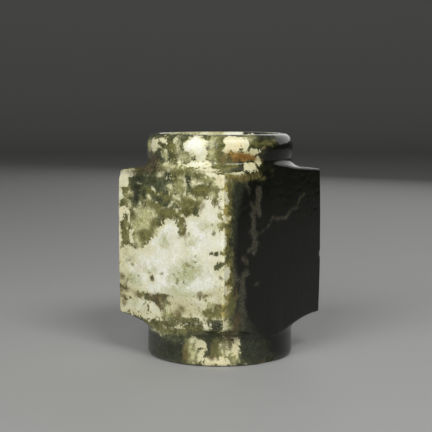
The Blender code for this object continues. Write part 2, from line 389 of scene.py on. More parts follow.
# small white marks in the green
whiteTraces = {
    "front": [
        (2.4, 90.4, 2.2, 1.6), (1.6, 86.8, 0.8, 1.3), (6.2, 84.4, 3.2, 1.4, -20), (3.4, 81.4, 3.8, 0.9, 30),
        (7.4, 78.4, 1, 0.9, 20), (9.4, 79, 0.5, 0.4), (4.6, 78.6, 0.6, 0.4), (12.2, 91, 0.9, 4.4),
        (18.6, 92.6, 2.2, 1.2, 20), (22.6, 92.8, 4.6, 0.5, -5), (17.2, 86.2, 2.4, 0.6, -25),
        (-10.4, 88.6, 1.5, 0.7, -40), (-6.4, 85.2, 0.8, 1), (-13.2, 83.6, 2.2, 1, -40), (-17, 82, 1.8, 0.7),
        (-7.6, 81.8, 1.2, 0.5), (-21.4, 90.2, 1.6, 0.4, 8), (-23.4, 91, 1, 0.3), (-14.6, 94.8, 0.6, 0.4),
        (-5, 96, 2.4, 0.7, 35), (-0.5, 94, 1, 0.8), (-1.4, 79, 1.8, 0.7), (-23.4, 76.8, 1, 0.6, 30),
        (-20.6, 80.4, 0.8, 1), (-29, 85, 1.6, 0.7), (-28.6, 78.4, 1, 1), (-30.4, 66.2, 1, 1),
        (32, 26.9, 6.8, 0.45, 7), (29.6, 23.4, 1, 1.1), (29.4, 21.5, 1.8, 0.5), (12.4, 22, 1.2, 0.7),
        (20, 22.6, 1.4, 0.4), (6.9, 20, 1.1, 0.5, 60), (-8.5, 32.7, 0.5, 0.4), (31.4, 31.6, 0.6, 1.4),
        (14.4, 25.9, 1.4, 0.5), (10.3, 68.1, 0.8, 0.5),
    ],
    "round": [
        (-83, 113.4, 1.2, 1.6), (-93, 101, 1.4, 0.8), (-97, 106.6, 1, 0.8), (-78, 102.4, 1.4, 1.4),
        (-84, 100, 1, 1), (-88, 98, 1, 1), (-81, 19.4, 2.6, 0.5, 18), (-108, 15.2, 4, 0.5, 8),
        (-93, 17.8, 2.2, 0.6, -20), (-99.4, 13.6, 0.4, 0.4),
    ],
}
# soft layers of colour, each table painted in its own order: how far the edge frays, how far inside the
# patch the colour starts and is full, in millimetres, how strong it is, and the two colours that it wanders
# between; where "inner" is given, it has passed from the first to the second this far inside the edge
underLayers = {
    "olive": {"fray": 3.0, "start": -2.4, "full": 2.0, "strength": 0.85, "colours": ("olive", "lightOlive")},
    "milky": {"fray": 3.6, "start": -1.8, "full": 2.4, "strength": 0.85,
              "colours": ("milkOlive", "milkCream")},
    "dark": {"fray": 2.6, "start": -2.0, "full": 1.6, "strength": 1.0, "colours": ("darkGreen", "greyDark")},
}
overLayers = {
    "deepOlive": {"fray": 2.8, "start": -1.4, "full": 1.1, "strength": 0.92,
                  "colours": ("deepOlive", "olive")},
    "glow": {"fray": 2.2, "start": -2.0, "full": 1.4, "strength": 0.95, "colours": ("glowOlive", "glowGold"),
             "inner": 1.4},
    "trace": {"fray": 1.2, "start": -0.5, "full": 0.6, "strength": 0.85, "colours": ("milkCream", "cream")},
}
paleLayers = {
    "bright": {"fray": 4.0, "start": -2.0, "full": 4.0, "strength": 0.7, "colours": ("white", "cream")},
    "warmTint": {"fray": 4.0, "start": -3.0, "full": 4.0, "strength": 0.7,
                 "colours": ("yellowCream", "cream")},
    "greenTint": {"fray": 4.0, "start": -3.0, "full": 4.0, "strength": 0.9,
                  "colours": ("greenCream", "milkOlive")},
    "tan": {"fray": 3.6, "start": -2.4, "full": 2.4, "strength": 0.9, "colours": ("tan", "milkCream")},
    "honey": {"fray": 2.6, "start": -1.6, "full": 2.4, "strength": 0.8, "colours": ("honey", "cream")},
}
stainLayers = {
    "brown": {"fray": 2.2, "start": -1.2, "full": 1.2, "strength": 0.8, "colours": ("brown", "tanBrown")},
    "umber": {"fray": 3.0, "start": -2.0, "full": 2.0, "strength": 0.85, "colours": ("umber", "brown")},
    "amber": {"fray": 2.4, "start": -1.8, "full": 1.4, "strength": 0.9, "colours": ("amber", "rustTan")},
    "rust": {"fray": 2.0, "start": -1.4, "full": 1.2, "strength": 0.92, "colours": ("rust", "rustDark")},
    "speck": {"fray": 0.7, "start": -0.5, "full": 0.3, "strength": 0.8, "colours": ("speck", "olive")},
}
softPatches = {
    "dark": {
        "front": [(-22.4, 88, 3, 3.4), (-22, 93, 3.6, 1.8), (-23, 83, 2.4, 2.4), (21.6, 89.6, 3.4, 0.9),
                  (8, 21.8, 3, 1.3), (15.4, 23.7, 3, 0.9), (-5, 20.2, 8, 0.8), (24, 20, 8, 0.8),
                  (14.6, 93, 1.4, 2.6), (1.6, 97, 2.4, 1.2), (33, 24.4, 5.4, 1.4, 6),
                  (-7.4, 29.4, 3, 1.2, -30), (-34, 66, 1, 2.4, 10), (-29, 58.4, 3.4, 0.8, -5),
                  (0, 84, 1.6, 2), (13, 21.8, 9, 1.6), (31, 23, 7, 2, 6)],
        # painted shade: deep inside the right, back and left sides the dark green stone goes near black
        "right": [(10, 60, 46, 62)], "back": [(6, 60, 40, 60)], "left": [(-16, 60, 20, 40)],
        # (-53, 16.2) is a painted shadow line on the foot, under the block's overhang
        # the same painted shade on the collar and foot at (14, 8), (26, 103), (78, 8) and (92, 106)
        "round": [(14, 8, 31, 12), (26, 103, 26, 8), (-53, 16.2, 9, 1.1), (78, 8, 60, 12),
                  (92, 106, 40, 8), (-124, 7.6, 8, 6.4), (-106, 7, 10, 6.2), (-90, 6.4, 8, 5.8),
                  (-79, 7, 4, 6), (-54, 10.4, 1.6, 4.4)],
    },
    "olive": {
        "front": [(9, 91, 3.4, 5.4), (16, 83, 10, 3, 10), (29, 94.6, 8, 2), (32, 89.6, 6, 1.6),
                  (-31, 84, 2.6, 6), (-12, 80.6, 12, 1.4, -12), (-17, 66, 11, 10), (2, 76.6, 10, 2.4),
                  (8, 24, 14, 5), (30, 29, 9, 4, 8), (10.6, 70.6, 3, 6),
                  (-26, 33, 9, 3), (-31, 64, 4, 7), (36, 74, 4, 5)],
        "right": [(-35.4, 84, 2.2, 12), (-36.2, 68, 1.8, 8), (-35, 50, 2.4, 8), (-34.6, 36, 2.6, 8),
                  (-34, 24, 3.4, 3), (-25, 97, 12, 1.4), (-30, 38, 1.6, 5)],
        "round": [(-46.5, 106, 2.4, 8), (-14, 113, 8, 2.4), (-38, 101, 8, 1.6), (-49.6, 9, 2.6, 6),
                  (-70.6, 8, 2.4, 7), (-100, 16.6, 18, 1.6), (-78, 99, 8, 2), (150, 106, 40, 8),
                  (-52.6, 110, 2, 5)],
        "back": [(-16, 60, 17, 28, 25)], "left": [(22, 58, 18, 34)],
        "bore": [(150, 110, 50, 9), (90, 110, 20, 8)],
    },
    "milky": {
        "front": [(-17, 75.4, 9, 4.4), (-18, 68, 9.6, 5), (-12, 76.6, 6, 2.4, -25), (-22, 61, 6, 4),
                  (-9, 65, 4, 5, 20), (31, 87.2, 3.2, 1.9), (29, 95.6, 7, 2), (34.6, 92.4, 5, 3),
                  (22, 84.8, 2.4, 1.2), (6, 83.6, 4.6, 2.4), (2.6, 88.6, 3, 3.4), (12.4, 90, 1.8, 5.6),
                  (18.4, 92.8, 3.4, 2), (17, 86, 3.6, 1.2, -20), (-28.6, 84.6, 2.4, 2),
                  (-28.6, 78.4, 1.8, 1.8), (-13.6, 83.4, 3, 1.5, -35), (-4, 96.4, 3, 1.2, 30),
                  (36, 72.8, 3.4, 2), (36, 78, 1.8, 2.6), (12, 29.6, 15, 4), (-1.5, 25, 2.6, 2.6),
                  (25, 24, 3.4, 2.2, -50), (29, 33.6, 4, 2.6), (36.6, 40, 2.6, 6), (10, 96, 3, 1.2)],
        "right": [(-37.4, 80, 2.2, 2), (-36.6, 75, 1.8, 2.4), (-37.4, 71, 1.4, 1.2), (-37, 60, 1.4, 3),
                  (-35.6, 50, 2, 5.4), (-36, 40, 2, 5), (-35.4, 24, 3, 3), (-27, 99, 12, 1.2, -3),
                  (-36, 95, 3, 2.4), (-37, 31, 1.4, 2)],
        "round": [(-74, 105.6, 3, 3), (-118, 110, 4, 3), (-54, 109, 2, 7), (-58, 98, 7, 1.6),
                  (-93, 106, 3, 3), (-81, 110, 2, 3.4), (-70, 6, 2.4, 7),
                  (-22, 114, 4, 1.2), (-66.4, 6, 2, 7), (-36, 6, 3, 6), (-43.4, 8, 3, 6),
                  (-51, 4, 2.4, 1.2), (-106, 15, 6, 0.8, 8), (-90, 100, 9, 2), (-11, 2.6, 5.2, 0.8, 14),
                  (124, 107, 14, 7), (178, 106, 12, 7)],
        "left": [(26, 60, 12, 30), (-20, 84, 16, 9, -15)],
        "back": [(-18, 62, 13, 20, 30), (10, 35, 22, 7, -10)],
        "bore": [(140, 112, 30, 6)],
    },
    "deepOlive": {
        "front": [(-16, 63.2, 6, 3.6, -5), (-16.4, 59.2, 2.2, 2.4), (-9.6, 70.6, 3.4, 1.8, 30),
                  (-11.6, 67, 2.2, 2.2), (-33, 64, 2.2, 4.6, 12), (-29.6, 58.6, 3.8, 1.1, -8),
                  (-32, 78.6, 3.6, 1.2), (-31, 87, 2, 2.4), (-26, 73.4, 2, 1.6), (-31.4, 72, 0.9, 2.2),
                  (16, 82.6, 6.4, 1.8, 5), (23.4, 80.6, 2.6, 0.8, 55), (4, 76.4, 5.6, 2, -3),
                  (-3, 75.6, 3.6, 1.8, -20), (-8, 79.6, 7, 1.2, -12), (14, 78, 5, 2.2, 5), (10.8, 73, 2, 3),
                  (11.8, 67, 1.8, 1.8), (33, 84.4, 1.4, 1.8), (34, 90, 3.6, 0.8), (21.6, 96.6, 2.6, 1.2),
                  (5.4, 94.4, 1.8, 1.6), (0.6, 84, 2.4, 2), (25.4, 28.6, 2.6, 2), (31, 30, 6.4, 1.6, 5),
                  (-23.4, 32.3, 2.6, 1.5), (15, 23.8, 3, 1.2), (8, 21.6, 2.6, 1.4), (-6, 19.6, 9, 1.6),
                  (36.4, 33.8, 2.2, 1.4), (18, 20.4, 9, 1), (23, 89.8, 7, 2, 3),
                  (31, 83.8, 2.4, 1.2, 20), (26, 19.4, 10, 0.8, 4), (-8, 86, 8, 1.2, -10)],
        "right": [(-33, 84, 1.4, 14), (-34.6, 66, 1, 8), (-32.4, 50, 1.2, 8), (-32, 36, 2, 8),
                  (-36.6, 71.4, 1.6, 0.7), (-38, 31, 1.4, 1.4), (-24, 95, 10, 1.2)],
        "round": [(-46.6, 105, 2, 6), (-40, 101.2, 7, 1.3), (-85, 109, 2.4, 3), (-84, 104, 2.6, 2.4),
                  (-14, 111.6, 7, 1.2), (-50.6, 8, 1.8, 4.6), (-100, 16.4, 10, 1, 6), (-73, 6, 1.6, 5),
                  (-95, 110.6, 2, 0.6), (-78, 97.6, 6, 1.2)],
        "back": [(-20, 62, 11, 20, 25), (8, 34, 24, 6, -10), (32, 82, 8, 16, 10)],
        "left": [(-14, 84, 17, 8, -10), (-27, 28, 12, 9)],
    },
    # the gold light that shows through the thin corner beside the dark face
    "glow": {
        "right": [(-36.6, 92, 2, 5), (-36.4, 85.6, 2.2, 5), (-36.8, 79.8, 2.8, 2.4),
                  (-35.4, 75.4, 2.8, 3), (-37.6, 70.4, 2.4, 1.8), (-37, 64.8, 1.8, 4.4),
                  (-38, 58.6, 1.8, 2.6), (-35.2, 50, 2.2, 5.6), (-35.4, 41, 2.4, 4.4),
                  (-36.6, 34.8, 2.2, 3.6), (-37.6, 29.6, 1.8, 2.2), (-30, 96.4, 7, 1)],
    },
    "trace": whiteTraces,
    "bright": {
        "front": [(33, 72, 6, 14), (27, 78, 5, 9), (14, 68, 10, 6), (2, 56, 18, 7),
                  (30, 58, 9, 6), (-14, 44, 10, 4), (-36, 94, 4, 5, 40)],
    },
    "warmTint": {
        "front": [(-36, 46, 5, 26), (-30, 34, 9, 6), (37, 94, 4, 5), (-28, 51, 7, 6),
                  (-27, 22.6, 12, 3), (36, 45, 4, 9), (-26, 62, 4, 5), (-33, 92, 4, 5),
                  (-8, 73, 8, 5), (-18, 57, 8, 4)],
        "right": [(-34.6, 75, 3, 4), (-35, 40, 3, 8), (-36, 24, 4, 5)],
        "round": [(-53, 106, 3, 9), (-30, 106, 10, 8), (-48, 6, 16, 12), (-104, 111, 6, 5)],
        "left": [(22, 50, 20, 40)], "back": [(-12, 50, 18, 20)], "bore": [(165, 110, 25, 9)],
    },
    "greenTint": {
        "front": [(13, 47, 13, 5.6, 20), (7.6, 43.6, 5.6, 4), (8, 36.8, 11, 3), (-27, 40, 8, 3.4),
                  (14, 51, 8, 3, 20),
                  (-25, 27.4, 6, 1.8), (24, 50, 5, 1.2), (26, 72.4, 4, 1.2), (17, 63.4, 2.6, 0.8, 25),
                  (-2, 62, 3, 3), (-12, 46, 3, 2)],
    },
    "tan": {
        "front": [(13, 30.6, 14, 4.4), (-27, 23, 9, 1.6), (-31.6, 54, 2.2, 2), (-25.6, 51.6, 2.2, 1.4, 45),
                  (-28, 33.4, 7, 2), (36, 37, 4, 3), (-20.6, 47.4, 3, 1.4), (33, 40, 6, 2, 15),
                  (-35.6, 34, 4, 8), (3, 28, 4, 4), (-38.4, 25, 2.6, 5)],
        "round": [(-41.6, 108.4, 2.6, 4.4), (-72, 105, 4, 1.6), (-51, 3.4, 3, 1.4), (-66, 7, 1.6, 6),
                  (-23, 107, 5, 3), (-21.6, 101, 4, 3), (-34, 5, 3, 5)],
        "left": [(10, 34, 12, 4, 10)],
    },
    "honey": {
        "round": [(-36, 111, 6.4, 5), (-47, 4, 9, 4), (-36, 8, 3, 6), (-54, 98, 6, 2),
                  (126, 107, 9, 5)],
        "front": [(36, 95, 5, 4), (-34, 76, 4, 4)],
    },
    "peppered": {
        "front": [(15, 30, 14, 5), (-29, 36, 9, 6), (-27, 25, 9, 3), (34, 40, 6, 5), (-32, 50, 6, 5)],
        "round": [(-46, 3, 8, 2)],
    },
    "umber": {
        "front": [(-13, 97.4, 5, 1.4), (-26, 96.4, 6, 0.8)],
        "round": [(-110, 103, 6.4, 3), (-116, 99.6, 7, 2.4), (-104, 99, 6, 2), (-38, 16.6, 3, 2)],
        "right": [(-28.4, 24, 2.4, 5)],
    },
    "brown": {
        "front": [(-7, 32.9, 6.6, 1.4, 5), (-4.4, 32.4, 2.4, 1.4), (-6.6, 29.4, 4, 1.3, -30),
                  (10, 29, 2.4, 1.8), (7, 26, 2.8, 2), (-36, 40.4, 2.2, 1.5), (-32.6, 36, 1.4, 2),
                  (-34, 26.6, 2, 1.7), (-36.6, 34, 1.6, 2.4), (22.3, 37.2, 1.8, 1.4),
                  (26.5, 37.9, 2, 0.6, 15), (-11.4, 42, 1.2, 1.4), (-23.4, 32.2, 2, 1),
                  (-34.6, 40.6, 1.4, 1.4), (-32, 34, 2.6, 1.6), (-31.4, 38.4, 0.9, 1.2),
                  (-35, 30.3, 2.2, 1), (-32, 27, 2, 0.8, -45), (24, 81, 1.4, 0.7, 60),
                  (11.6, 66.4, 2, 0.7), (12.6, 69, 0.6, 2.4), (-29.5, 50, 1.6, 0.6, 20),
                  (33.6, 33, 3, 1, 20)],
        "round": [(-45, 103, 1.4, 2), (-11.3, 110.3, 0.8, 0.7), (-11, 1.2, 3.4, 0.6, 14),
                  (-43.2, 9, 0.5, 2.6, 6), (-39.6, 12, 0.7, 1.8, 10), (-73.4, 5, 1.2, 4), (-53, 5, 1.2, 1.2)],
        "right": [(-29.4, 39, 1.2, 3), (-24, 95.6, 8, 0.8)],
        "left": [(0, 52, 5, 3, 20), (30, 36, 2, 4)], "back": [(-20, 44, 6, 3, -20)],
    },
    "amber": {
        "round": [(-36, 106, 3.2, 1.9, -8), (-29, 105.4, 4, 1.7, -8), (-24, 104.2, 2.4, 0.9, -4)],
    },
    "rust": {
        "round": [(-29.6, 105.5, 2.6, 1.2, -12), (-24.6, 104.4, 2.2, 0.6, -4), (-34, 104.4, 2, 0.7)],
    },
    "speck": {
        "front": [(13.3, 52.3, 0.9, 0.5), (15, 50.8, 1.3, 0.5), (17.8, 50.4, 0.8, 0.5),
                  (12, 48.4, 0.8, 0.5), (7.5, 43.4, 0.7, 1.8), (7, 40.9, 0.6, 0.6),
                  (11.5, 43.2, 1, 0.6, 30), (13, 42.2, 0.8, 0.4), (5, 45.8, 0.9, 0.6), (9, 47.3, 0.6, 0.4),
                  (-22, 41.8, 0.9, 0.5), (-13.5, 45.3, 0.9, 0.6), (-4, 45.7, 0.9, 0.3, 20),
                  (-17.8, 27.8, 1.2, 0.7), (-22, 23.7, 0.9, 0.6), (-15.5, 23.4, 0.7, 0.4),
                  (31.7, 69, 0.5, 0.9), (16.2, 67, 0.5, 0.7), (-26.6, 47.8, 1.4, 0.7),
                  (36, 47.4, 1.2, 0.7), (18.4, 91.8, 0.5, 0.4), (19.6, 54, 1.4, 0.5)],
    },
    "flecked": {
        "front": [(3, 95, 6, 4), (16, 93, 3, 4), (8, 78.6, 4, 2.4), (10, 22, 14, 3),
                  (-30, 82, 4, 7), (33, 23, 7, 2.4), (-3, 97, 6, 2), (-12, 96.6, 5, 2)],
        "round": [(-87, 101.4, 8, 4), (-84, 98.8, 12, 2), (-80, 15, 5, 3), (-88, 18.4, 12, 1.8),
                  (-110, 101, 6, 3)],
        "left": [(14, 70, 12, 12)], "back": [(-24, 82, 10, 8)],
    },
}
# each vein: side, its half width, and the points it runs through
veins = [
    ("right", 1.9, [(-13, 88), (-12.8, 84.4), (-14.2, 80.6)]), ("right", 1.0, [(-18.4, 82.6), (-16, 80.4)]),
    ("right", 1.3, [(-13.2, 80), (-12.6, 76.6)]),
    ("right", 1.5, [(-15, 80), (-17.4, 77), (-16.6, 73), (-17, 69), (-16.2, 65.4)]),
    ("right", 1.6, [(-18.4, 68.4), (-15.4, 66.6)]), ("right", 1.1, [(-16, 63.4), (-17, 61), (-20.4, 59.4)]),
    ("right", 1.0, [(-14.4, 62.4), (-16.4, 58)]), ("right", 0.8, [(-21, 92), (-19.4, 88.4)]),
    ("right", 1.4, [(-23.4, 55.4), (-21.6, 53.6)]),
    ("right", 1.9, [(-21.6, 48.4), (-24, 47.4), (-25, 43.4), (-24.8, 37), (-24.4, 31.6)]),
    ("right", 1.4, [(-24.4, 31), (-22.6, 28.4)]), ("right", 1.2, [(-24.2, 25), (-24, 18.6)]),
    ("right", 1.1, [(-30.8, 50.6), (-29.2, 47), (-26.4, 45)]),
    ("right", 0.2, [(-14.4, 66), (-10.6, 67.8), (-7.4, 69), (-5, 70.6), (-3.6, 74.4), (-1.4, 75), (1, 73.6),
                    (4.4, 73)]),
    ("right", 0.7, [(5.4, 72.8), (8, 73.4), (10.2, 75.4)]),
    ("right", 0.2, [(10.2, 75.4), (13, 77.8), (16.6, 77.6), (19, 81), (20.4, 82.8), (24, 85)]),
    ("right", 0.4, [(-15.4, 41.4), (-13, 41.8)]),
    ("back", 0.9, [(32, 96), (24, 84), (17, 80), (8, 66), (1, 61), (-4, 50), (-2, 38), (-10, 22)]),
    ("back", 0.6, [(8, 66), (18, 58), (24, 46), (34, 40)]),
    ("left", 0.8, [(-36, 74), (-24, 66), (-18, 54), (-6, 50), (2, 38)]),
]
outwards = {"front": (0, -1), "right": (1, 0), "back": (0, 1), "left": (-1, 0)}
roundSides = {"round": form["tubeRadius"], "bore": boreRadius}
# how far below the surface patches and veins go, and how far inside a patch is still told apart
depths = {"flat": 2.2, "broad": 14.0, "round": 9.0, "vein": 7.0, "furthest": 12.0}
# sizes of wandering that bend every patch, as size and distance in millimetres, and the seed that keeps the
# wandering the same in each run
wander = ((9.0, 0.7), (3.4, 0.7), (1.5, 0.3))
wanderSeed = 7
noise.seed_set(wanderSeed)


def unrolled(points, side):
    # each point's place along a side, in millimetres or degrees, and how far it stands out from the side
    if side in roundSides:
        turns = np.degrees(np.arctan2(points[:, 1], points[:, 0]))
        return turns, np.hypot(points[:, 0], points[:, 1]) - roundSides[side]
    x, y = outwards[side]
    return points[:, 1] * x - points[:, 0] * y, points[:, 0] * x + points[:, 1] * y - form["tubeRadius"]


def insidePatches(points, patches):
    # how far inside the nearest patch each point lies, in millimetres, and negative outside
    best = np.full(len(points), -depths["furthest"])
    for side, places in patches.items():
        along, proud = unrolled(points, side)
        for place, height, halfWide, halfHigh, *tilt in places:
            small = min(halfWide, halfHigh)
            across = along - place
            deep = depths["flat"] if small < depths["broad"] else small
            if side in roundSides:
                across = np.radians((across + 180) % 360 - 180) * roundSides[side]
                deep = depths["round"]
            lean = math.radians(tilt[0]) if tilt else 0.0
            rise = points[:, 2] - height
            a = (across * math.cos(lean) + rise * math.sin(lean)) / halfWide
            b = (rise * math.cos(lean) - across * math.sin(lean)) / halfHigh
            c = proud / deep
            best = np.maximum(best, (1 - np.sqrt(a * a + b * b + c * c)) * small)
    return best


def insideVeins(points):
    # the same for veins, which keep their width down to their depth and thin out below it
    best = np.full(len(points), -depths["furthest"])
    for side, halfWide, route in veins:
        along, proud = unrolled(points, side)
        flat = np.stack([along, points[:, 2]], axis=-1)
        deep = np.maximum(0.0, np.abs(proud) - depths["vein"])
        for start, end in zip(route, route[1:]):
            start, end = np.array(start, float), np.array(end, float)
            run = end - start
            t = np.clip((flat - start) @ run / (run @ run), 0, 1)
            away = np.linalg.norm(flat - start - t[:, None] * run, axis=-1)
            best = np.maximum(best, halfWide - away - deep)
    return best


def wandered(p):
    for size, far in wander:
        p = p + noise.noise_vector(p / size) * far
    return p


def markStone(stone):
    # each kind of patch becomes a number on every point of the mesh, which the material reads by name
    points = np.array([wandered(v.co / mm) for v in stone.data.vertices])
    marks = {name: insidePatches(points, patches) for name, patches in softPatches.items()}
    marks["pale"] = np.minimum(insidePatches(points, paleStone), -insidePatches(points, greenIslands))
    marks["vein"] = insideVeins(points)
    furthest = depths["furthest"]
    for name, values in marks.items():
        layer = stone.data.attributes.new(name, "FLOAT", "POINT")
        layer.data.foreach_set("value", np.clip(values, -furthest, furthest).astype(np.float32))


markStone(cong)
print("stone marked")

# what the stone looks like
jade = {
    # colours, as linear light
    # the near-black green is painted shade on the dark green stone of the sides away from the light
    "shadedBlackGreen": (0.006, 0.007, 0.004), "darkGreen": (0.024, 0.027, 0.013),
    "greyDark": (0.044, 0.050, 0.031), "greyGreen": (0.105, 0.114, 0.062), "mossGreen": (0.050, 0.056, 0.026),
    "deepOlive": (0.092, 0.088, 0.028), "olive": (0.180, 0.172, 0.056), "lightOlive": (0.350, 0.338, 0.150),
    "glowGold": (0.440, 0.370, 0.110), "glowOlive": (0.110, 0.090, 0.022),
    "milkOlive": (0.430, 0.415, 0.180), "milkCream": (0.610, 0.595, 0.350),
    "cream": (0.720, 0.695, 0.470), "white": (0.840, 0.835, 0.740), "shadowWhite": (0.640, 0.645, 0.490),
    "yellowCream": (0.600, 0.555, 0.280), "greenCream": (0.500, 0.550, 0.330), "tan": (0.470, 0.400, 0.220),
    "brown": (0.120, 0.084, 0.034), "tanBrown": (0.190, 0.140, 0.060), "umber": (0.045, 0.032, 0.022),
    "rust": (0.240, 0.095, 0.010), "rustDark": (0.120, 0.048, 0.007), "rustTan": (0.430, 0.280, 0.080),
    "amber": (0.320, 0.185, 0.030), "honey": (0.800, 0.680, 0.400), "speck": (0.110, 0.130, 0.055),
    "veinCream": (0.100, 0.094, 0.062), "veinWarm": (0.105, 0.082, 0.056),
    # sizes of its clouds, grains and scratches, in millimetres
    "broadSize": 10.0, "coarseSize": 3.6, "fineSize": 1.1, "grainSize": 0.95, "dotSize": 1.6,
    "crumbSize": 1.3, "crystalSize": 1.0, "pitSize": 0.8, "pittedSize": 5.0, "dragSize": 0.6,
    # how far the pale stone's edge wanders, and how far it blurs to either side, in millimetres
    "paleFray": 4.0, "paleBlur": 0.45,
    # how strongly each thing shows, where 1 hides what is under it
    "oliveShare": 0.45, "haloShare": 0.45, "grainShare": 0.7, "edgeShare": 0.35, "bruiseShare": 0.7,
    "threadShare": 0.4, "crumbShare": 0.1, "pepperShare": 0.6, "veinShare": 0.75, "crystalLoss": 0.78,
    # roughness, relief in millimetres, how light bends and glances off, and how far it goes in, in metres
    "polished": 0.14, "calcified": 0.30, "dulled": 0.10,
    "relief": 0.08, "reliefShare": 0.5, "dragShare": 0.10, "pitShare": 0.8,
    "refraction": 1.53, "sheen": 0.32,
    "shineThrough": 0.25, "lightReach": 0.0020, "lightColours": (1.0, 0.85, 0.40),
}

jadeStone = bpy.data.materials.new("mottledJade")
jadeStone.use_nodes = True
tree = jadeStone.node_tree


def feed(node, socket, value):
    # a socket takes another node's output, the name of a colour, or a plain value
    if isinstance(value, str):
        value = (*jade[value], 1.0)
    if isinstance(value, bpy.types.NodeSocket):
        tree.links.new(value, node.inputs[socket])
    else:
        node.inputs[socket].default_value = value


def put(kind, wires, **settings):
    made = tree.nodes.new(kind)
    for name, value in settings.items():
        setattr(made, name, value)
    for socket, value in wires.items():
        feed(made, socket, value)
    return made


def sums(operation, *values):
    return put("ShaderNodeMath", dict(enumerate(values)), operation=operation).outputs[0]


def scaled(vector, factor):
    return put("ShaderNodeVectorMath", {0: vector, "Scale": factor}, operation="SCALE").outputs[0]


def mark(name):
    return put("ShaderNodeAttribute", {}, attribute_name=name).outputs["Fac"]


def grade(value, low, high):
    made = put("ShaderNodeMapRange", {"Value": value, "From Min": low, "From Max": high},
               interpolation_type="SMOOTHSTEP", clamp=True)
    return made.outputs["Result"]


def mixed(share, under, over):
    sockets = {0: share, 6: under, 7: over}
    return put("ShaderNodeMix", sockets, data_type="RGBA", clamp_factor=True).outputs[2]


position = scaled(put("ShaderNodeTexCoord", {}).outputs["Object"], 1 / mm)


def cloudy(size, detail=4.0, rough=0.6, warp=0.0):
    # noise with blobs about this many millimetres across, from -1 to 1
    made = put("ShaderNodeTexNoise", {"Vector": position, "Scale": 1 / size, "Detail": detail,
                                      "Roughness": rough, "Distortion": warp})
    return sums("MULTIPLY_ADD", made.outputs["Fac"], 2.0, -1.0)


def cells(size):
    return put("ShaderNodeTexVoronoi", {"Vector": position, "Scale": 1 / size}).outputs["Distance"]


# three sizes of unevenness, which fray every boundary in the stone
broad = cloudy(jade["broadSize"], 3.0, 0.5, 0.3)
coarse = cloudy(jade["coarseSize"], 5.0, 0.6, 0.3)
fine = cloudy(jade["fineSize"], 4.0, 0.7)
uneven = sums("MULTIPLY_ADD", fine, 0.5, coarse)
mottle = grade(uneven, -0.45, 0.45)
paleDepth = sums("MULTIPLY_ADD", uneven, jade["paleFray"], mark("pale"))
pale = grade(paleDepth, -jade["paleBlur"], jade["paleBlur"])


def frayed(name, far, start, full):
    # a mark whose edge wanders about this many millimetres, from none at the start to full
    return grade(sums("MULTIPLY_ADD", uneven, far, mark(name)), start, full)


def painted(colour, layers):
    for name, layer in layers.items():
        share = frayed(name, layer["fray"], layer["start"], layer["full"])
        share = sums("MULTIPLY", share, layer["strength"])
        blend = mottle
        if "inner" in layer:
            blend = frayed(name, layer["fray"], layer["start"] + layer["inner"] / 2, layer["inner"])
        colour = mixed(share, colour, mixed(blend, *layer["colours"]))
    return colour


def greenStone():
    # grey green, near black deep in the dark patches as painted shade on the sides away from the light, olive
    # and milky near the pale stone
    green = mixed(grade(sums("MULTIPLY_ADD", broad, 0.6, uneven), -0.4, 0.4), "mossGreen", "greyGreen")
    green = mixed(sums("MULTIPLY", grade(paleDepth, -3.0, 0.6), jade["oliveShare"]), green, "olive")
    green = painted(green, underLayers)
    # painted shade: the dark green stone goes near black deep inside the big dark patches
    deep = grade(mark("dark"), 4.0, 8.5)
    green = mixed(deep, green, "shadedBlackGreen")
    halo = sums("MULTIPLY", grade(paleDepth, -3.2, 0.2), jade["haloShare"])
    green = mixed(sums("MULTIPLY", deep, halo), green, "deepOlive")
    green = painted(green, overLayers)
    # white grains, larger where the green is flecked
    scatter = frayed("flecked", 5.0, -2.0, 3.0)
    grainSize = sums("MULTIPLY_ADD", scatter, 0.42, sums("MULTIPLY_ADD", fine, 0.30, -0.08))
    grain = grade(sums("SUBTRACT", grainSize, cells(jade["grainSize"])), -0.06, 0.12)
    return mixed(sums("MULTIPLY", grain, jade["grainShare"]), green, "cream")


def calcifiedStone():
    # white in its depth, creamy and yellow towards its edges, mottled all over
    inside = grade(sums("MULTIPLY_ADD", broad, 3.0, paleDepth), 0.2, 3.2)
    colour = mixed(inside, "cream", "white")
    colour = mixed(sums("MULTIPLY", grade(paleDepth, 1.2, 0.1), jade["edgeShare"]), colour, "yellowCream")
    bruise = grade(sums("MULTIPLY_ADD", fine, 0.8, coarse), -0.1, 0.5)
    colour = mixed(sums("MULTIPLY", bruise, jade["bruiseShare"]), colour, "shadowWhite")
    thread = grade(sums("ABSOLUTE", sums("MULTIPLY_ADD", fine, 0.3, coarse)), 0.08, 0.0)
    colour = mixed(sums("MULTIPLY", thread, jade["threadShare"]), colour, "greenCream")
    colour = painted(colour, paleLayers)
    # green dots in its greenish parts, and brown crumbs, most where it is peppered
    dots = grade(cells(jade["dotSize"]), 0.26, 0.12)
    colour = mixed(sums("MULTIPLY", dots, grade(mark("greenTint"), -0.5, 3.5)), colour, "speck")
    crumbs = grade(sums("MULTIPLY_ADD", fine, 0.25, cells(jade["crumbSize"])), 0.34, 0.16)
    peppered = frayed("peppered", 4.0, -2.0, 3.0)
    crumbs = sums("MULTIPLY", crumbs, sums("MULTIPLY_ADD", peppered, jade["pepperShare"], jade["crumbShare"]))
    return mixed(crumbs, colour, "tanBrown")


def veined(colour):
    # veins, broken up and smoky
    smoke = sums("MULTIPLY", frayed("vein", 1.8, -1.2, 1.3), grade(fine, -0.7, 0.3))
    veinColour = mixed(grade(broad, 0.0, 0.5), "veinCream", "veinWarm")
    return mixed(sums("MULTIPLY", smoke, jade["veinShare"]), colour, veinColour)


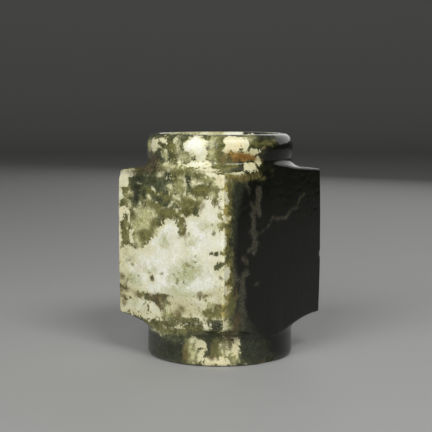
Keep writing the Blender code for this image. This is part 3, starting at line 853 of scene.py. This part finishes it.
def crystalline(colour):
    # a fine grain of lighter and darker crystals, weaker in the pale stone
    contrast = sums("MULTIPLY_ADD", pale, -jade["crystalLoss"], 1.0)
    grit = sums("MULTIPLY", cloudy(jade["crystalSize"], 3.0, 0.65), contrast)
    return scaled(colour, sums("ADD", grit, 1.0))


def roughness():
    # glossy green stone and duller pale stone, dulled a little more in clouds
    polish = sums("MULTIPLY_ADD", pale, jade["calcified"] - jade["polished"], jade["polished"])
    return sums("ADD", polish, sums("MULTIPLY", grade(coarse, -0.1, 0.6), jade["dulled"]))


def relief():
    # tiny pits in the calcified stone and a faint drag of polishing over the whole
    pits = grade(cells(jade["pitSize"]), 0.32, 0.10)
    pits = sums("MULTIPLY", pits, sums("MULTIPLY", pale, grade(cloudy(jade["pittedSize"], 3.0), -0.1, 0.5)))
    drag = sums("MULTIPLY", cloudy(jade["dragSize"], 3.0), jade["dragShare"])
    height = sums("SUBTRACT", drag, sums("MULTIPLY", pits, jade["pitShare"]))
    strength, reach = jade["reliefShare"], jade["relief"] * mm
    bump = put("ShaderNodeBump", {"Height": height, "Strength": strength, "Distance": reach})
    return bump.outputs["Normal"]


def finishStone():
    shader = tree.nodes["Principled BSDF"]
    colour = veined(mixed(pale, greenStone(), calcifiedStone()))
    feed(shader, "Base Color", crystalline(painted(colour, stainLayers)))
    feed(shader, "Roughness", roughness())
    feed(shader, "Normal", relief())
    feed(shader, "IOR", jade["refraction"])
    feed(shader, "Specular IOR Level", jade["sheen"])
    feed(shader, "Subsurface Weight", jade["shineThrough"])
    feed(shader, "Subsurface Scale", jade["lightReach"])
    feed(shader, "Subsurface Radius", jade["lightColours"])


finishStone()
cong.data.materials.clear()
cong.data.materials.append(jadeStone)
print("stone coloured")

# the floor, in metres, which sweeps up to a wall far behind on every side, and the faint light all round
studio = {
    "floorRadius": 2.6, "sweep": 1.2, "wallHeight": 3.4, "floorSides": 96, "sweepSteps": 12,
    "floorColour": (0.40, 0.40, 0.39), "floorRoughness": 0.7, "worldLight": 0.025,
}
# upright panels of light: the direction that each stands in, in degrees, how far away, its lower and upper
# edge and its width, in metres, and its power in watts
panels = {
    "key": {"direction": -76.0, "distance": 1.0, "low": 0.12, "high": 1.22, "wide": 0.85, "power": 12.8},
    "fill": {"direction": -18.0, "distance": 0.9, "low": 0.75, "high": 1.25, "wide": 0.6, "power": 12.0},
    "rim": {"direction": 97.0, "distance": 1.3, "low": 0.30, "high": 1.10, "wide": 2.1, "power": 6.5},
}


def floorMaterial():
    plain = bpy.data.materials.new("floor")
    plain.use_nodes = True
    shader = plain.node_tree.nodes["Principled BSDF"]
    shader.inputs["Base Color"].default_value = (*studio["floorColour"], 1.0)
    shader.inputs["Roughness"].default_value = studio["floorRoughness"]
    return plain


def makeFloor():
    # a disc whose edge is drawn out and up, ring by ring
    bm = bmesh.new()
    bmesh.ops.create_circle(bm, cap_ends=True, segments=studio["floorSides"], radius=studio["floorRadius"])
    edges = list(bm.edges)
    rings = []
    for t in shares(studio["sweepSteps"])[1:]:
        turn = t * math.pi / 2
        rings.append((studio["floorRadius"] + studio["sweep"] * math.sin(turn),
                      studio["sweep"] * (1 - math.cos(turn))))
    rings.append((studio["floorRadius"] + studio["sweep"], studio["wallHeight"]))
    for radius, height in rings:
        grown = bmesh.ops.extrude_edge_only(bm, edges=edges)["geom"]
        edges = ringEdges(grown)
        for v in [g for g in grown if isinstance(g, bmesh.types.BMVert)]:
            v.co = Vector((v.co.x, v.co.y, 0)).normalized() * radius + Vector((0, 0, height))
    bmesh.ops.recalc_face_normals(bm, faces=bm.faces)
    floor = toObject(bm, "floor")
    floor.data.shade_smooth()
    floor.data.materials.append(floorMaterial())


def softbox(name, panel):
    # it faces the stone, and the camera doesn't see it
    low, high, away = panel["low"], panel["high"], panel["distance"]
    light = bpy.data.lights.new(name, "AREA")
    light.shape = "RECTANGLE"
    light.size = panel["wide"]
    light.size_y = high - low
    light.energy = panel["power"]
    lamp = bpy.data.objects.new(name, light)
    turn = math.radians(panel["direction"])
    lamp.location = (away * math.cos(turn), away * math.sin(turn), (low + high) / 2)
    lamp.rotation_euler = (math.radians(90), 0, turn + math.radians(90))
    lamp.visible_camera = False
    scene.collection.objects.link(lamp)


def makeStudio():
    makeFloor()
    for name, panel in panels.items():
        softbox(name, panel)
    world = bpy.data.worlds.new("studio")
    world.use_nodes = True
    back = world.node_tree.nodes["Background"]
    back.inputs["Color"].default_value = (1.0, 1.0, 1.0, 1.0)
    back.inputs["Strength"].default_value = studio["worldLight"]
    scene.world = world
    scene.view_settings.view_transform = "Standard"


# the camera as the photograph shows it: its place in metres, its directions in degrees, the focal length and
# the frame's width in pixels, and the sensor's width in millimetres
view = {
    "distance": 0.55428, "height": 0.12919, "direction": 43.186, "aside": 0.206, "down": 5.869,
    "focal": 1051.57, "frameWidth": 432, "sensor": 36.0,
}


def makeCamera():
    camera = bpy.data.cameras.new("camera")
    camera.sensor_width = view["sensor"]
    camera.lens = view["focal"] / view["frameWidth"] * view["sensor"]
    eye = bpy.data.objects.new("camera", camera)
    turn = math.radians(view["direction"])
    eye.location = (view["distance"] * math.sin(turn), -view["distance"] * math.cos(turn), view["height"])
    eye.rotation_euler = (math.radians(90 - view["down"]), 0.0, turn + math.radians(view["aside"]))
    scene.collection.objects.link(eye)
    scene.camera = eye


makeStudio()
makeCamera()
print("studio lit")

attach(cong, "root")
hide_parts("jade_cong")
